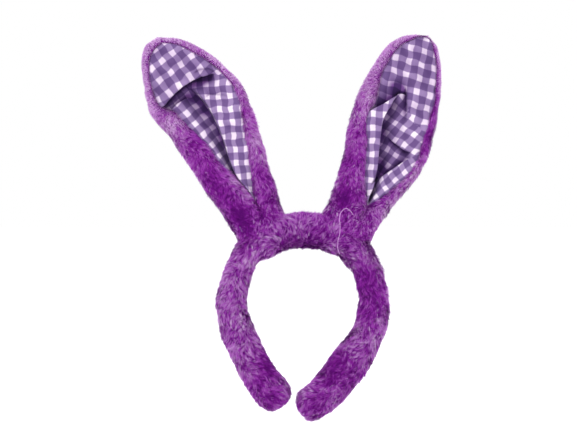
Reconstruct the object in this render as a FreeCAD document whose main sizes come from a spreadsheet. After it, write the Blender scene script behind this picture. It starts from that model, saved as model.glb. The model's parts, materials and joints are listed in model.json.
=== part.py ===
# Plush rabbit-ears headband: a padded, plush-covered band on a springy strip, with two wired ears
# that are plush behind and lined with gingham in front.
#
# Frame: +Z up, the front faces -Y, +X to the right as seen from the front. The origin is on the head
# side of the band, at the middle of the crown. Left and right are as seen from the front. Sizes are
# in millimetres and angles in degrees.
#
# The strip flexes all along in the real band. Here it hinges at both shoulders, so the strip, the
# wadding and the plush each come as a crown and two arms, with a round knuckle at each shoulder.
import FreeCAD
import Part
import os
from collections import namedtuple
from math import atan, cos, degrees, radians, sin, tan

from FreeCAD import Placement, Rotation, Vector

SIZES = {
    # Band
    "band_radius": 57.5,         # centreline of the crown and the shoulders
    "crown_tube": 14.0,          # half the thickness of the covered crown
    "arm_tube": 12.2,            # half the thickness of a covered arm
    "band_plush": 3.8,           # pile and backing of the sleeve
    "layer_gap": 0.2,            # room between one layer and the next
    "strip_thickness": 2.0,
    "strip_width": 14.0,
    "shoulder_angle": 62.0,      # from the top of the crown round to the shoulder hinge
    "shoulder_gap": 0.8,         # room between the crown's hollow end and the arm's round end
    "crown_setback": 5.0,        # between a shoulder hinge and the end of the crown, as an angle
    "knuckle_lead": 8.5,         # how far an arm's strip and wadding start before its hinge, as an angle
    "left_bow_start": 24.0,      # below the side, where the left arm starts to straighten
    "left_bow_radius": 282.0,
    "left_bow_turn": 12.0,
    "right_bow_start": 22.0,
    "right_bow_radius": 144.0,
    "right_bow_turn": 31.0,
    "thread_radius": 0.45,
    "seam_setback": 4.0,         # between the ends of the seam threads and an arm's hinge or the crown's end
    "gather_radius": 2.2,
    # Ears
    "ear_foot_angle": 30.0,      # from the top of the crown to the middle of an ear's foot
    "left_ear_root_across": -36.0,
    "left_ear_root_up": 27.0,
    "left_ear_lean": 28.7,       # turned to the left of upright
    "left_ear_length": 162.0,
    "left_ear_half_width": 38.0,
    "left_ear_belly": 103.0,     # height of the widest place
    "left_ear_tip_round": 17.0,
    "left_ear_crease": 112.0,    # height of the crease
    "right_ear_root_across": 42.0,
    "right_ear_root_up": 27.0,
    "right_ear_lean": -21.7,
    "right_ear_length": 155.0,
    "right_ear_half_width": 36.0,
    "right_ear_belly": 82.0,
    "right_ear_tip_round": 14.0,
    "right_ear_crease": 95.0,
    "ear_taper": 9.6,            # angle of each side below the belly
    "ear_taper_round": 60.0,
    "ear_half_depth": 7.0,
    "ear_plush": 3.0,            # wall of the plush back
    "ear_rim": 7.0,              # plush that shows round the lining
    "ear_foot_depth": 25.0,      # how far the stock runs below the root before the foot is cut
    "lining_foot": 13.0,         # height of the point where the lining ends
    "lining_thickness": 1.2,
    "lining_tuck": 2.6,          # lining hidden under the rim
    "wire_radius": 0.7,
    "crease_gap": 0.4,
    "crease_forward": 60.0,
    "crease_back": 20.0,
    "foot_gap": 0.5,
    "stitch_length": 5.0,
    "stitch_pitch": 7.0,
}
SIDES = {"left": 1, "right": -1}
STITCHES_PER_FACE = 5
TOOL_SPAN = 160.0      # how far the cutting tools reach, more than any piece they cut

Arc = namedtuple("Arc", "across up radius start sweep")


def make_sheet(doc):
    sheet = doc.addObject("Spreadsheet::Sheet", "Sizes")
    for row, (alias, number) in enumerate(SIZES.items(), start=1):
        sheet.set(f"A{row}", alias)
        sheet.set(f"B{row}", str(number))
        sheet.setAlias(f"B{row}", alias)
    doc.recompute()
    return sheet


doc = FreeCAD.newDocument("plush_ears_headband")
sheet = make_sheet(doc)


def size(expression):
    """The value of an expression in the sheet's aliases."""
    return float(sheet.evalExpression(expression))


def bind(item, **properties):
    """Ties properties of a document object to expressions in the sheet's aliases."""
    for name, expression in properties.items():
        for alias in sorted(SIZES, key=len, reverse=True):
            expression = expression.replace(alias, f"\0{list(SIZES).index(alias)}\0")
        for index, alias in enumerate(SIZES):
            expression = expression.replace(f"\0{index}\0", f"Sizes.{alias}")
        item.setExpression(name, expression)


def add(kind, name, place=None, **properties):
    item = doc.addObject(kind, name)
    bind(item, **properties)
    if place is not None:
        item.Placement = place
    return item


def fuse(name, items):
    if len(items) == 1:
        return items[0]
    union = doc.addObject("Part::MultiFuse", name)
    union.Shapes = items
    return union


def cut(name, base, tool):
    result = doc.addObject("Part::Cut", name)
    result.Base = base
    result.Tool = tool
    return result


def stand(angle):
    """Local x to this angle in the front view, from +X towards +Z, and local z to the front."""
    return Rotation(Vector(0, -1, 0), angle) * Rotation(Vector(1, 0, 0), 90)


def direction(angle):
    return Vector(cos(radians(angle)), 0, sin(radians(angle)))


# ---------------------------------------------------------------- the band's line

CROWN_CENTRE = Vector(0, 0, size("crown_tube - band_radius"))


def crown_arc(start, sweep):
    return Arc(CROWN_CENTRE.x, CROWN_CENTRE.z, "band_radius", start, sweep)


def shoulder(side):
    """The angle of a shoulder hinge in the front view, and its place."""
    angle = 90 + SIDES[side] * size("shoulder_angle")
    return angle, CROWN_CENTRE + direction(angle) * size("band_radius")


def bow_arc(side):
    """The long, nearly straight arc of an arm, and the angle of its lower end."""
    start = size(f"{side}_bow_start")
    turn = size(f"{side}_bow_turn")
    meets = 180 + start if side == "left" else -start
    shift = size(f"band_radius - {side}_bow_radius")
    centre = CROWN_CENTRE + direction(meets) * shift
    first = meets if side == "left" else meets - turn
    end = meets + SIDES[side] * turn
    return Arc(centre.x, centre.z, f"{side}_bow_radius", first, turn), end


def arm_arcs(side, lead):
    """The arcs of one arm. lead is how far it starts before the hinge, as an angle."""
    hinge, _ = shoulder(side)
    start = size(f"{side}_bow_start")
    if side == "left":
        upper = crown_arc(hinge - lead, 180 + start - hinge + lead)
    else:
        upper = crown_arc(-start, hinge + lead + start)
    return [upper, bow_arc(side)[0]]


def arm_end(side):
    """The middle of an arm's rounded end, and the angle that the arm's line points away at."""
    arc, end = bow_arc(side)
    return Vector(arc.across, 0, arc.up) + direction(end) * size(arc.radius), end + SIDES[side] * 90


def ball_at(name, centre, radius):
    return add("Part::Sphere", name, Placement(centre, Rotation()), Radius=radius)


def tube(name, arcs, radius, balls=(), offset=""):
    """A round tube along tangent arcs, with balls on its ends. offset moves it off the line."""
    pieces = []
    for number, arc in enumerate(arcs):
        place = Placement(Vector(arc.across, 0, arc.up), stand(arc.start))
        torus = add("Part::Torus", f"{name}_arc{number}", place,
                    Radius1=arc.radius + offset, Radius2=radius)
        torus.Angle3 = arc.sweep
        pieces.append(torus)
    pieces += [ball_at(f"{name}_ball{number}", centre, radius) for number, centre in enumerate(balls)]
    return fuse(name, pieces)


def flat_strip(name, arcs, gap, end=None):
    """The springy strip along tangent arcs, grown by a gap all round, with a rounded end."""
    half = f"strip_thickness / 2 + {gap}"
    width = f"strip_width + 2 * ({gap})"
    front = size(width) / 2
    pieces = []
    for number, arc in enumerate(arcs):
        place = Placement(Vector(arc.across, front, arc.up), stand(arc.start))
        sectors = []
        for edge, sign in (("outer", "+"), ("inner", "-")):
            sector = add("Part::Cylinder", f"{name}_{edge}{number}", place,
                         Radius=f"{arc.radius} {sign} ({half})", Height=width)
            sector.Angle = arc.sweep
            sectors.append(sector)
        pieces.append(cut(f"{name}_run{number}", *sectors))
    if end is not None:
        place = Placement(end + Vector(0, front, 0), stand(0))
        pieces.append(add("Part::Cylinder", f"{name}_end", place, Radius=half, Height=width))
    return fuse(name, pieces)


NODES = []


def node(name, body_item, place=None):
    """Labels a finished sub-part. Its file takes this name."""
    body_item.Label = name
    if place is not None:
        body_item.Placement = place
    NODES.append(body_item)


# ---------------------------------------------------------------- the band

def make_crown():
    reach = size("shoulder_angle - crown_setback")
    arcs = [crown_arc(90 - reach, 2 * reach)]
    seam_reach = size("shoulder_angle - crown_setback - seam_setback")
    seam_arcs = [crown_arc(90 - seam_reach, 2 * seam_reach)]
    sockets = fuse("shoulder_sockets", [
        ball_at(f"{side}_socket", shoulder(side)[1], "arm_tube + shoulder_gap") for side in SIDES])
    lining = "crown_tube - band_plush"
    sleeve = cut("crown_sleeve", tube("crown_outside", arcs, "crown_tube"),
                 tube("crown_inside", arcs, lining))
    node("crown_plush_cover", cut("crown_cover", sleeve, sockets))
    filling = cut("crown_filling", tube("crown_stuffing", arcs, f"{lining} - layer_gap"),
                  flat_strip("crown_slot", arcs, "layer_gap"))
    node("crown_wadding", cut("crown_pad", filling, sockets))
    node("crown_strip", cut("crown_spring", flat_strip("crown_blank", arcs, "0"), sockets))
    node("crown_seam_thread", tube("crown_seam", seam_arcs, "thread_radius",
                                   offset=" - crown_tube - thread_radius - layer_gap"))


def make_arm(side):
    lead = size("knuckle_lead")
    arcs = arm_arcs(side, 0)
    stock = arm_arcs(side, lead)
    through = arm_arcs(side, 2 * lead)
    _, hinge = shoulder(side)
    end, heading = arm_end(side)
    lining = "arm_tube - band_plush"
    node(f"{side}_arm_plush_cover",
         cut(f"{side}_sleeve", tube(f"{side}_outside", arcs, "arm_tube", balls=[hinge, end]),
             tube(f"{side}_inside", through, lining, balls=[end])))
    node(f"{side}_arm_wadding",
         cut(f"{side}_pad", tube(f"{side}_stuffing", stock, f"{lining} - layer_gap", balls=[end]),
             flat_strip(f"{side}_slot", through, "layer_gap", end=end)))
    node(f"{side}_arm_strip", flat_strip(f"{side}_spring", stock, "0", end=end))
    node(f"{side}_arm_seam_thread",
         tube(f"{side}_seam", arm_arcs(side, -size("seam_setback")), "thread_radius",
              offset=" - arm_tube - thread_radius - layer_gap"))
    out = direction(heading)
    ring = add("Part::Torus", f"{side}_gather",
               Placement(end + out * size("arm_tube + thread_radius"), Rotation(Vector(0, 0, 1), out)),
               Radius1="gather_radius", Radius2="thread_radius")
    node(f"{side}_end_gather_thread", ring)


# ---------------------------------------------------------------- the ears
# An ear is drawn in its own frame: x across it, y up it from its root and z to the front.

Bend = namedtuple("Bend", "x y radius start end")


def ear_bends(ear, inset, foot=None):
    """Half an ear's outline as arcs from tip to foot, moved in by inset. With a foot height, the
    sides run on in one arc to a point there. Without, they end in straight tapering sides."""
    half = size(f"{ear}_half_width")
    belly = size(f"{ear}_belly")
    tip = size(f"{ear}_tip_round")
    rise = size(f"{ear}_length") - tip - belly
    turn = 2 * degrees(atan((half - tip) / rise))
    shoulder_round = tip + rise / cos(radians(90 - turn))
    bends = [
        Bend(0, belly + rise, tip - inset, turn, 90),
        Bend(half - shoulder_round, belly, shoulder_round - inset, 0, turn),
    ]
    if foot is None:
        taper_round = size("ear_taper_round")
        bends.append(Bend(half - taper_round, belly, taper_round - inset, -size("ear_taper"), 0))
    else:
        width = half - inset
        side_round = (width ** 2 + (belly - foot) ** 2) / (2 * width)
        fall = degrees(atan((belly - foot) / (side_round - width)))
        bends.append(Bend(width - side_round, belly, side_round, -fall, 0))
    return bends


def side_foot(ear, inset):
    """The ends of an ear's straight side, from the taper arc down past the foot."""
    arc = ear_bends(ear, inset)[-1]
    taper = radians(arc.start)
    top = Vector(arc.x + arc.radius * cos(taper), arc.y + arc.radius * sin(taper), 0)
    low = -size("ear_foot_depth")
    bottom = Vector(top.x + (top.y - low) * tan(taper), low, 0)
    return top, bottom


def mirrored(point):
    return Vector(-point.x, point.y, point.z)


def outline_sketch(name, ear, inset, foot=None):
    """A closed outline of the ear in its own plane."""
    edges = []
    for bend in ear_bends(ear, inset, foot):
        for x, start, end in ((bend.x, bend.start, bend.end),
                              (-bend.x, 180 - bend.end, 180 - bend.start)):
            circle = Part.Circle(Vector(x, bend.y, 0), Vector(0, 0, 1), bend.radius)
            edges.append(Part.ArcOfCircle(circle, radians(start), radians(end)))
    if foot is None:
        top, bottom = side_foot(ear, inset)
        edges.append(Part.LineSegment(top, bottom))
        edges.append(Part.LineSegment(bottom, mirrored(bottom)))
        edges.append(Part.LineSegment(mirrored(bottom), mirrored(top)))
    sketch = doc.addObject("Sketcher::SketchObject", name)
    sketch.addGeometry(edges, False)
    return sketch


def slab(name, ear, inset, low, high, foot=None):
    """The ear's outline, moved in by inset, as a plate between two heights above its middle plane."""
    plate = add("Part::Extrusion", name, LengthFwd=f"({high}) - ({low})")
    plate.Base = outline_sketch(f"{name}_outline", ear, inset, foot)
    plate.DirMode = "Normal"
    plate.Solid = True
    plate.Base.Placement = Placement(Vector(0, 0, size(low)), Rotation())
    return plate


def wire_round(name, ear, inset, radius, level, foot=None):
    """A round wire or thread along the ear's outline, moved in by inset."""
    pieces = []
    for number, bend in enumerate(ear_bends(ear, inset, foot)):
        for half, x, start in (("r", bend.x, bend.start), ("l", -bend.x, 180 - bend.end)):
            place = Placement(Vector(x, bend.y, level), Rotation(Vector(0, 0, 1), start))
            torus = add("Part::Torus", f"{name}_{half}{number}", place, Radius2=radius)
            torus.Radius1 = bend.radius
            torus.Angle3 = bend.end - bend.start
            pieces.append(torus)
    if foot is None:
        top, bottom = side_foot(ear, inset)
        for half, high, low in (("r", top, bottom), ("l", mirrored(top), mirrored(bottom))):
            run = low - high
            place = Placement(high + Vector(0, 0, level), Rotation(Vector(0, 0, 1), run))
            leg = add("Part::Cylinder", f"{name}_{half}leg", place, Radius=radius)
            leg.Height = run.Length
            pieces.append(leg)
    return fuse(name, pieces)


def cross_ear(name, place, radius):
    """A cylinder across the ear, along the local x of its place."""
    turned = place * Placement(Vector(-TOOL_SPAN / 2, 0, 0), Rotation(Vector(0, 1, 0), 90))
    cylinder = add("Part::Cylinder", name, turned, Radius=radius)
    cylinder.Height = TOOL_SPAN
    return cylinder


def crease_block(name, crease, angle, thickness, up):
    """A block from the crease line, up or down the ear, leaning forward by an angle."""
    block = add("Part::Box", name, Height=thickness)
    block.Length = TOOL_SPAN
    block.Width = TOOL_SPAN
    low = 0 if up else -TOOL_SPAN
    corner = Vector(-TOOL_SPAN / 2, low, -size(thickness) / 2)
    block.Placement = Placement(Vector(0, crease, 0), Rotation(Vector(1, 0, 0), angle)) \
        * Placement(corner, Rotation())
    return block


def crease_tools(ear):
    """What the ear's upper part loses below the crease, and what its lower part loses above it."""
    crease = size(f"{ear}_crease")
    line = Placement(Vector(0, crease, 0), Rotation())
    thick = "2 * (ear_half_depth + crease_gap)"
    below = cut(f"{ear}_below",
                crease_block(f"{ear}_lower_block", crease, 0, "4 * ear_half_depth", up=False),
                cross_ear(f"{ear}_crease_round", line, "ear_half_depth"))
    leans = (0, size("crease_forward"), -size("crease_back"))
    above = [crease_block(f"{ear}_upper_block{number}", crease, lean, thick, up=True)
             for number, lean in enumerate(leans)]
    above.append(cross_ear(f"{ear}_crease_socket", line, "ear_half_depth + crease_gap"))
    return below, fuse(f"{ear}_above", above)


def foot_line(side):
    """The line an ear leans about, down the middle of the crown's tube, as a place whose local x
    is along it."""
    angle = 90 + SIDES[side] * size("ear_foot_angle")
    centre = CROWN_CENTRE + direction(angle) * size("band_radius")
    return Placement(centre, stand(angle - 90))


def ear_place(side):
    root = Vector(size(f"{side}_ear_root_across"), 0, size(f"{side}_ear_root_up"))
    return Placement(root, stand(size(f"{side}_ear_lean")))


def foot_stitches(name, ear, line):
    """Short stitches on the front and the back of an ear's foot."""
    pieces = []
    start = line.multVec(Vector(0, size("crown_tube + foot_gap + 1"), 0))
    level = size("ear_half_depth + thread_radius + 0.1")
    for face, height in (("front", level), ("back", -level)):
        for number in range(STITCHES_PER_FACE):
            shift = (number - (STITCHES_PER_FACE - 1) / 2) * size("stitch_pitch")
            base = line.multVec(Vector(shift, 0, 0)) + Vector(0, start.y - line.Base.y, height)
            place = Placement(base, Rotation(Vector(0, 0, 1), Vector(0, 1, 0)))
            pieces.append(add("Part::Cylinder", f"{name}_{face}{number}", place,
                              Radius="thread_radius", Height="stitch_length"))
    return fuse(name, pieces)


def make_ear(side):
    ear = f"{side}_ear"
    place = ear_place(side)
    line = place.inverse() * foot_line(side)
    cavity = "ear_plush"
    floor = "-ear_half_depth + ear_plush"
    roof = "ear_half_depth - ear_plush"
    lining_top = f"{roof} - layer_gap"
    lining_back = f"{lining_top} - lining_thickness"
    wire_inset = f"{cavity} + wire_radius + layer_gap"
    wadding_inset = f"{wire_inset} + wire_radius + layer_gap"
    foot = size("lining_foot")
    tuck = size("lining_tuck")
    rim = size("ear_rim")

    outside = slab(f"{ear}_outside", ear, 0, "-ear_half_depth", "ear_half_depth")
    hollow = slab(f"{ear}_hollow", ear, size(cavity), floor, roof)
    window = slab(f"{ear}_window", ear, rim, roof, "ear_half_depth + 1", foot=foot)
    layers = {
        "plush_back": cut(f"{ear}_plush_full", outside, fuse(f"{ear}_room", [hollow, window])),
        "wadding": slab(f"{ear}_wadding_full", ear, size(wadding_inset),
                        f"{floor} + layer_gap", f"{lining_back} - layer_gap"),
        "gingham_lining": slab(f"{ear}_lining_full", ear, rim - tuck, lining_back, lining_top,
                               foot=foot - tuck),
        "shaping_wire": wire_round(f"{ear}_wire_full", ear, size(wire_inset), "wire_radius", 0),
        "edge_seam_thread": wire_round(f"{ear}_seam_full", ear, size("ear_rim + thread_radius + 0.2"),
                                       "thread_radius",
                                       size(f"{roof} + thread_radius"), foot=foot + 2),
    }
    below, above = crease_tools(ear)
    foot_tool = cross_ear(f"{ear}_foot_tool", line, "crown_tube + foot_gap")
    lower_tool = fuse(f"{ear}_lower_tool", [above, foot_tool])
    for layer, full in layers.items():
        node(f"{ear}_lower_{layer}", cut(f"{ear}_lower_cut_{layer}", full, lower_tool), place)
        node(f"{ear}_upper_{layer}", cut(f"{ear}_upper_cut_{layer}", full, below), place)
    node(f"{ear}_foot_stitches", foot_stitches(f"{ear}_stitches", ear, line), place)


def check(items):
    """Stops if any object failed or any sub-part isn't valid solids."""
    for item in doc.Objects:
        if "Invalid" in item.State or "Error" in item.State:
            raise RuntimeError(f"{item.Name} failed: {item.State}")
    for item in items:
        shape = item.Shape
        if shape.isNull() or not shape.isValid() or not shape.Solids:
            raise RuntimeError(f"{item.Label} isn't a valid solid")


make_crown()
for side in SIDES:
    make_arm(side)
    make_ear(side)
doc.recompute()
check(NODES)
os.makedirs("parts", exist_ok=True)
for item in NODES:
    item.Shape.exportStep(f"parts/{item.Label}.step")
    box = item.Shape.BoundBox
    print(f"{item.Label:38s} solids {len(item.Shape.Solids)}  volume {item.Shape.Volume / 1000:8.2f} cm3  "
          f"x {box.XMin:7.1f} {box.XMax:7.1f}  y {box.YMin:6.1f} {box.YMax:6.1f}  "
          f"z {box.ZMin:7.1f} {box.ZMax:7.1f}")
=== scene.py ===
import json
import math

import bpy
import numpy as np
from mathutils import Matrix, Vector


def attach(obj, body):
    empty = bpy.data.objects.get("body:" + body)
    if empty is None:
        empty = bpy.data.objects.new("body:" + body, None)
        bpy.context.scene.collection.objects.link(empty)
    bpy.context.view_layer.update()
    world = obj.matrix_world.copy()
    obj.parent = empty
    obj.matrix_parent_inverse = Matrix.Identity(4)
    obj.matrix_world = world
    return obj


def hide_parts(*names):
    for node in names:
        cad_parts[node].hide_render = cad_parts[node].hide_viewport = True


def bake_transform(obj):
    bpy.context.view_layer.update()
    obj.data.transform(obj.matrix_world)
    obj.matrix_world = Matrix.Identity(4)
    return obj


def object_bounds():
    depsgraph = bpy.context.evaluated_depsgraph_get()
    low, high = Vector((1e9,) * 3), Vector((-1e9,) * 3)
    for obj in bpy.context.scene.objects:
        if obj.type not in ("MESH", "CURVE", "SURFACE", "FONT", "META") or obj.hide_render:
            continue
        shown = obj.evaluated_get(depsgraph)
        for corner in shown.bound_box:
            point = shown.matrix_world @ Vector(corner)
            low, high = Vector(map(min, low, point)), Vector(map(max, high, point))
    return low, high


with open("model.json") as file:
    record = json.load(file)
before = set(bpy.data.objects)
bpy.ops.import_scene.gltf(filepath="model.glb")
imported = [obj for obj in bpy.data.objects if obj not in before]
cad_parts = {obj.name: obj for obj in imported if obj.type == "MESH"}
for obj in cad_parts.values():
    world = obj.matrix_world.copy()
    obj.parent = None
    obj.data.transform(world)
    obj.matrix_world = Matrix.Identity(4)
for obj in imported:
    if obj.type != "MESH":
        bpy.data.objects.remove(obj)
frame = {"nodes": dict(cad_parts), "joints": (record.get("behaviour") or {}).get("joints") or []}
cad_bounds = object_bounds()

MM = 0.001
SIDES = {"left": 1, "right": -1}     # how each half turns in the front view: 1 is from +X towards +Z
JOINTS = {joint["name"]: np.array(joint["pos_m"]) for joint in frame["joints"]}      # where each one is
UP = np.array([0.0, 0.0, 1.0])
FRONT = np.array([0.0, -1.0, 0.0])


# ---- small tools

def unit(vectors):
    return vectors / np.maximum(np.linalg.norm(vectors, axis=-1, keepdims=True), 1e-12)


def ease(x, low, high):
    """0 up to low, 1 from high on, smooth between."""
    t = np.clip((x - low) / (high - low), 0, 1)
    return t * t * (3 - 2 * t)


def bump(x, middle, width):
    """1 at the middle, falling off smoothly on both sides."""
    return np.exp(-((x - middle) / width) ** 2)


def waves(points, size, seed, count=9):
    """Smooth noise from about -1 to 1 with features of about this size."""
    random = np.random.default_rng(seed)
    points = np.asarray(points, float)
    turns = unit(random.normal(size=(count, points.shape[-1]))) * 2 * math.pi / size
    turns *= random.uniform(0.6, 1.5, (count, 1))
    starts = random.uniform(0, 2 * math.pi, count)
    total = np.zeros(points.shape[:-1])
    for turn, start in zip(turns, starts):
        total += np.sin(points @ turn + start)
    return total / math.sqrt(count) * 0.8


def curve_through(points, count):
    """A smooth line through given points (Catmull-Rom), with count points along it."""
    points = np.asarray(points, float)
    padded = np.vstack([2 * points[0] - points[1], points, 2 * points[-1] - points[-2]])
    t = np.linspace(0, len(points) - 1, count)
    i = np.minimum(t.astype(int), len(points) - 2)
    f = (t - i)[:, None]
    a, b, c, d = (padded[i + k] for k in range(4))
    return 0.5 * (2 * b + (c - a) * f + (2 * a - 5 * b + 4 * c - d) * f ** 2
                  + (3 * b - a - 3 * c + d) * f ** 3)


def distance_along(line):
    """How far along a line of points each of them lies."""
    return np.concatenate([[0], np.cumsum(np.linalg.norm(np.diff(line, axis=0), axis=1))])


def rings(first, second, sides):
    """Unit circles of this many points, each turning from its first direction towards its second."""
    turn = np.linspace(0, 2 * math.pi, sides, endpoint=False)[:, None]
    return first[:, None] * np.cos(turn) + second[:, None] * np.sin(turn)


def new_object(name, vertices, faces, material, **maps):
    """A smooth object of faces with equally many sides; each map has a pair for each corner of each face."""
    mesh = bpy.data.meshes.new(name)
    vertices = np.asarray(vertices, np.float32)
    faces = np.asarray(faces, np.int32)
    sides = faces.shape[1]
    mesh.vertices.add(len(vertices))
    mesh.vertices.foreach_set("co", vertices.ravel())
    mesh.loops.add(faces.size)
    mesh.loops.foreach_set("vertex_index", faces.ravel())
    mesh.polygons.add(len(faces))
    mesh.polygons.foreach_set("loop_start", np.arange(0, faces.size, sides, dtype=np.int32))
    for map_name, pairs in maps.items():
        layer = mesh.uv_layers.new(name=map_name)
        layer.data.foreach_set("uv", pairs.astype(np.float32).ravel())
    mesh.polygons.foreach_set("use_smooth", np.full(len(faces), True))
    mesh.update(calc_edges=True)
    mesh.materials.append(material)
    thing = bpy.data.objects.new(name, mesh)
    bpy.context.scene.collection.objects.link(thing)
    return thing


def grid_faces(rows, columns, wrap=False, first=0):
    """Four-sided faces on a grid of points that are numbered from first; wrap joins the last column to
    the first."""
    across = columns if wrap else columns - 1
    i, j = np.meshgrid(np.arange(rows - 1), np.arange(across), indexing="ij")
    k = (j + 1) % columns
    faces = np.stack([i * columns + j, i * columns + k, (i + 1) * columns + k, (i + 1) * columns + j], -1)
    return faces.reshape(-1, 4) + first


# ---- materials

def srgb(red, green, blue):
    """A colour given as sRGB from 0 to 255, in Blender's linear values."""
    def linear(c):
        c /= 255
        return c / 12.92 if c <= 0.04045 else ((c + 0.055) / 1.055) ** 2.4
    return (linear(red), linear(green), linear(blue), 1.0)


def grey(value):
    return (value, value, value, 1.0)


def new_material(name, roughness, sheen=0.0, sheen_roughness=0.5, specular=0.3, metallic=0.0):
    """A material with these constants, its node tree and its shader's inputs."""
    material = bpy.data.materials.new(name)
    material.use_nodes = True
    shader = material.node_tree.nodes["Principled BSDF"].inputs
    constants = {"Roughness": roughness, "Specular IOR Level": specular, "Metallic": metallic,
                 "Sheen Weight": sheen, "Sheen Roughness": sheen_roughness}
    for socket, value in constants.items():
        shader[socket].default_value = value
    return material, material.node_tree, shader


def ramp(tree, value, stops):
    """A value turned into a colour; each stop is a place from 0 to 1 and its colour."""
    node = tree.nodes.new("ShaderNodeValToRGB")
    elements = node.color_ramp.elements
    while len(elements) < len(stops):
        elements.new(0.5)
    for element, (place, colour) in zip(elements, stops):
        element.position = place
        element.color = colour
    tree.links.new(value, node.inputs[0])
    return node.outputs[0]


def multiplied(tree, a, b):
    """One colour times another."""
    node = tree.nodes.new("ShaderNodeMix")
    node.data_type = "RGBA"
    node.blend_type = "MULTIPLY"
    factor, first, second = node.inputs[0], node.inputs[6], node.inputs[7]
    factor.default_value = 1.0
    tree.links.new(a, first)
    tree.links.new(b, second)
    return node.outputs[2]


def maths(tree, kind, *values):
    """What a Math node makes of these values, each a number or another node's output."""
    node = tree.nodes.new("ShaderNodeMath")
    node.operation = kind
    for socket, value in zip(node.inputs, values):
        if isinstance(value, bpy.types.NodeSocket):
            tree.links.new(value, socket)
        else:
            socket.default_value = value
    return node.outputs[0]


def map_parts(tree, name):
    """A map's coordinates, and each of the two on its own."""
    uv = tree.nodes.new("ShaderNodeUVMap")
    uv.uv_map = name
    split = tree.nodes.new("ShaderNodeSeparateXYZ")
    tree.links.new(uv.outputs["UV"], split.inputs[0])
    return uv.outputs["UV"], split.outputs["X"], split.outputs["Y"]


def noise(tree, scale, detail=2, coordinates=None):
    """Smooth noise from 0 to 1 over these coordinates, or through the object's own space."""
    if coordinates is None:
        coordinates = tree.nodes.new("ShaderNodeTexCoord").outputs["Object"]
    node = tree.nodes.new("ShaderNodeTexNoise")
    node.inputs["Scale"].default_value = scale
    node.inputs["Detail"].default_value = detail
    tree.links.new(coordinates, node.inputs["Vector"])
    return node.outputs["Fac"]


def relief(tree, shader, height, strength, distance):
    """Makes the light fall as if the surface stood up by this height."""
    node = tree.nodes.new("ShaderNodeBump")
    node.inputs["Strength"].default_value = strength
    node.inputs["Distance"].default_value = distance
    tree.links.new(height, node.inputs["Height"])
    tree.links.new(node.outputs["Normal"], shader["Normal"])


def pile_material():
    """Colour of one strand: its tone runs across the map and its length runs up it."""
    material, tree, shader = new_material("plush_pile", 0.6, sheen=0.06, sheen_roughness=0.4, specular=0.1)
    shader["Sheen Tint"].default_value = srgb(220, 150, 235)
    _, tone, along = map_parts(tree, "OFBake")
    colour = ramp(tree, tone, [(0.0, srgb(96, 0, 120)), (0.25, srgb(139, 20, 159)),
                               (0.5, srgb(169, 66, 188)), (0.75, srgb(192, 124, 206)),
                               (1.0, srgb(226, 188, 234))])
    shadow = ramp(tree, along, [(0.0, grey(0.5)), (0.5, grey(0.9)), (1.0, grey(1.0))])
    tree.links.new(multiplied(tree, colour, shadow), shader["Base Color"])
    return material


def skin_material():
    """The knitted backing that shows between the strands, coloured dark so the gaps read as shade: partly
    its own colour, partly painted shade.
    """
    material, tree, shader = new_material("plush_backing", 0.9, specular=0.05)
    uneven = noise(tree, 260, detail=3)
    colour = ramp(tree, uneven, [(0.3, srgb(84, 8, 102)), (0.7, srgb(120, 26, 138))])
    tree.links.new(colour, shader["Base Color"])
    return material


REPEAT = 10.9 * MM       # one stripe and one white gap
YARN = 0.45 * MM         # one yarn and the gap to the next
WHITE = 0.78             # where a white gap's middle lies in a repeat


def gingham_material():
    """Two sets of lavender stripes on white cloth, darker where they cross, with its yarns, fading a
    little from place to place and shaded in the folds."""
    material, tree, shader = new_material("gingham_cotton", 0.78, sheen=0.08, specular=0.15)
    cloth, *directions = map_parts(tree, "Cloth")
    shake = maths(tree, "SUBTRACT", noise(tree, 900, coordinates=cloth), 0.5)
    shake = maths(tree, "MULTIPLY", shake, 0.05)
    stripes, yarns = [], []
    for across in directions:
        phase = maths(tree, "FRACT", maths(tree, "ADD", maths(tree, "DIVIDE", across, REPEAT), shake))
        stripes.append(ramp(tree, phase, [(0.0, grey(0.5)), (0.03, grey(1.0)), (0.53, grey(1.0)),
                                          (0.59, grey(0.0)), (0.97, grey(0.0)), (1.0, grey(0.5))]))
        yarns.append(maths(tree, "SINE", maths(tree, "MULTIPLY", across, 2 * math.pi / YARN)))
    crossing = maths(tree, "MULTIPLY", maths(tree, "ADD", *stripes), 0.5)
    colour = ramp(tree, crossing, [(0.0, srgb(237, 222, 239)), (0.5, srgb(151, 126, 172)),
                                   (1.0, srgb(108, 81, 134))])
    weave = maths(tree, "MULTIPLY", *yarns)
    yarn = maths(tree, "MULTIPLY_ADD", weave, 0.5, 0.5)
    speckle = ramp(tree, yarn, [(0.0, grey(0.88)), (1.0, grey(1.0))])
    faded = ramp(tree, noise(tree, 60, detail=4, coordinates=cloth), [(0.3, grey(0.93)), (0.7, grey(1.0))])
    _, depth, _ = map_parts(tree, "Fold")
    shadow = ramp(tree, depth, [(0.0, grey(1.0)), (0.5, (0.59, 0.51, 0.65, 1)),
                                (1.0, (0.17, 0.07, 0.26, 1))])
    for layer in (speckle, faded, shadow):
        colour = multiplied(tree, colour, layer)
    tree.links.new(colour, shader["Base Color"])
    relief(tree, shader, weave, strength=0.35, distance=0.1 * MM)
    return material


def noisy_material(name, dark, light, scale, roughness, metallic=0.0, sheen=0.0):
    """A colour that wanders between a dark and a light one, with a relief to match."""
    material, tree, shader = new_material(name, roughness, sheen=sheen, metallic=metallic)
    uneven = noise(tree, scale, detail=4)
    tree.links.new(ramp(tree, uneven, [(0.35, dark), (0.65, light)]), shader["Base Color"])
    relief(tree, shader, uneven, strength=0.3, distance=0.2 * MM)
    return material


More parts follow.
